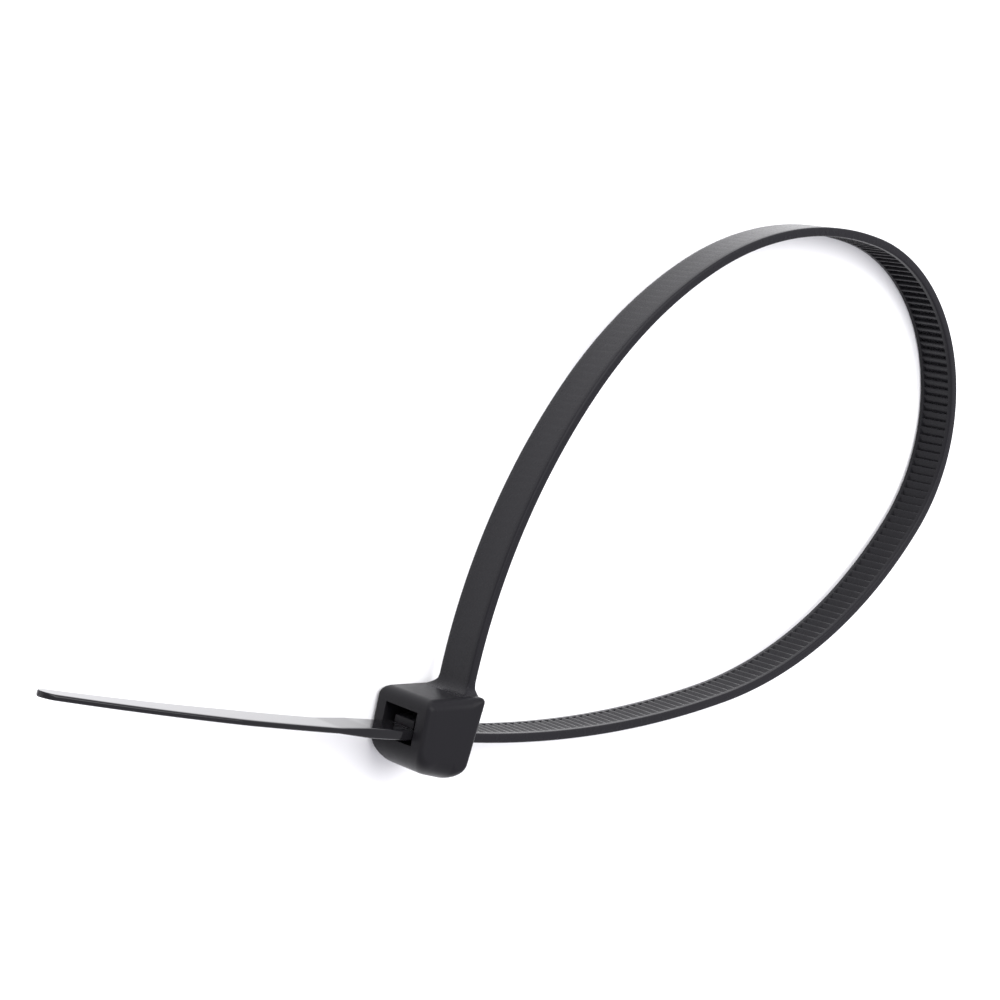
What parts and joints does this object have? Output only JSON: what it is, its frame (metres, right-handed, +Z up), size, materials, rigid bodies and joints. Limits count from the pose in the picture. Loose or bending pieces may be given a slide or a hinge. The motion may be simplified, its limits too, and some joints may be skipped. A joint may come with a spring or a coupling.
{
  "type": "cable tie",
  "caption": "Self-locking nylon cable tie pulled into a loop: toothed strap, box-shaped locking head with a pawl in its slot, smooth tapered tail standing out.",
  "frame": {"origin": "Middle of the footprint, on the table that the tie lies on.", "axes": "+Z is up, across the strap's width. +X runs along the slot, from the tail's tip toward the loop. +Y points from the slot to the top of the loop."},
  "size_m": [0.1814, 0.1026, 0.0137],
  "materials": {
    "nylon": "moulded black nylon, smooth with a soft sheen"
  },
  "bodies": {
    "root": {"cable_tie": "nylon"}
  },
  "joints": []
}
